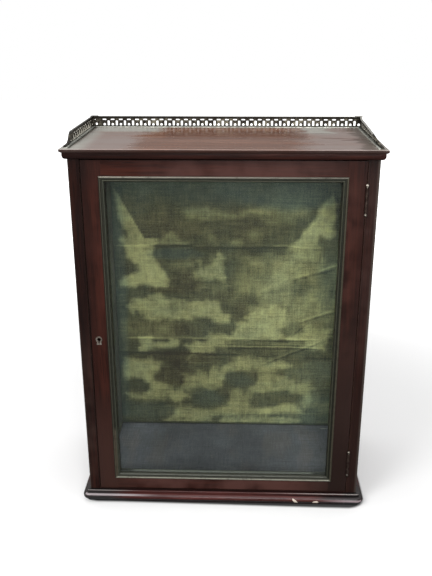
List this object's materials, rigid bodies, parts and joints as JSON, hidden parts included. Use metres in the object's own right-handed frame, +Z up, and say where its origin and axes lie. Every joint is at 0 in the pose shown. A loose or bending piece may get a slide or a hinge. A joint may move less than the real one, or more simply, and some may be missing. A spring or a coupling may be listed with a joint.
{
  "type": "display case",
  "caption": "Glazed table-top display case: moulded wooden cabinet, pierced brass gallery on top, and a hinged glass door with a lock over a cloth-lined interior.",
  "frame": {"origin": "on the floor, midway between the front of the base moulding and the back edge, on the case's centre line", "axes": "+X to the case's right seen from the front, +Y to the back, +Z up; the door faces -Y"},
  "size_m": [0.475, 0.232, 0.6177],
  "materials": {
    "mahogany": "dark red-brown french polish, worn at the edges",
    "back_wood": "stained and unpolished",
    "lining_board": "bare softwood",
    "lining_cloth": "faded green silk cloth",
    "gallery_brass": "dark patinated",
    "bead_brass": "dull patinated",
    "brass_fittings": "dull",
    "steel": "dull",
    "glass": "clear old sheet glass"
  },
  "bodies": {
    "case": {"back_panel": "back_wood", "back_screws": "steel", "base_moulding_front": "mahogany", "base_moulding_left": "mahogany", "base_moulding_right": "mahogany", "bottom_board": "mahogany", "cloth_back": "lining_cloth", "cloth_ceiling": "lining_cloth", "cloth_floor": "lining_cloth", "cloth_left": "lining_cloth", "cloth_right": "lining_cloth", "cornice_front": "mahogany", "cornice_left": "mahogany", "cornice_right": "mahogany", "gallery_back": "gallery_brass", "gallery_corner_caps": "gallery_brass", "gallery_left": "gallery_brass", "gallery_pins": "brass_fittings", "gallery_right": "gallery_brass", "hinge_case_screws": "brass_fittings", "hinge_lower_case_leaf": "brass_fittings", "hinge_lower_pin": "brass_fittings", "hinge_upper_case_leaf": "brass_fittings", "hinge_upper_pin": "brass_fittings", "lining_board_back": "lining_board", "lining_board_ceiling": "lining_board", "lining_board_floor": "lining_board", "lining_board_left": "lining_board", "lining_board_right": "lining_board", "side_left": "mahogany", "side_right": "mahogany", "strike_plate": "brass_fittings", "strike_screws": "brass_fittings", "sub_top": "mahogany", "top_board": "mahogany"},
    "door": {"brass_bead_bottom": "bead_brass", "brass_bead_left": "bead_brass", "brass_bead_right": "bead_brass", "brass_bead_top": "bead_brass", "door_rail_bottom": "mahogany", "door_rail_top": "mahogany", "door_stile_hinge": "mahogany", "door_stile_lock": "mahogany", "glass_pane": "glass", "glazing_bead_bottom": "mahogany", "glazing_bead_left": "mahogany", "glazing_bead_right": "mahogany", "glazing_bead_top": "mahogany", "glazing_pins": "steel", "hinge_door_screws": "brass_fittings", "hinge_lower_door_leaf": "brass_fittings", "hinge_upper_door_leaf": "brass_fittings", "keyhole_escutcheon": "brass_fittings", "lock_cap": "brass_fittings", "lock_case": "brass_fittings", "lock_key_post": "steel", "lock_screws": "steel", "lock_spring": "steel"},
    "lock_bolt": {"lock_bolt": "steel"}
  },
  "joints": [
    {"name": "door_hinge", "type": "hinge", "parent": "case", "child": "door", "pos_m": [0.208, -0.1066, 0.3023], "axis": [0, 0, 1], "range_deg": [0, 175]},
    {"name": "lock_bolt_slide", "type": "slide", "parent": "door", "child": "lock_bolt", "axis": [-1, 0, 0], "range_m": [0, 0.006]}
  ]
}
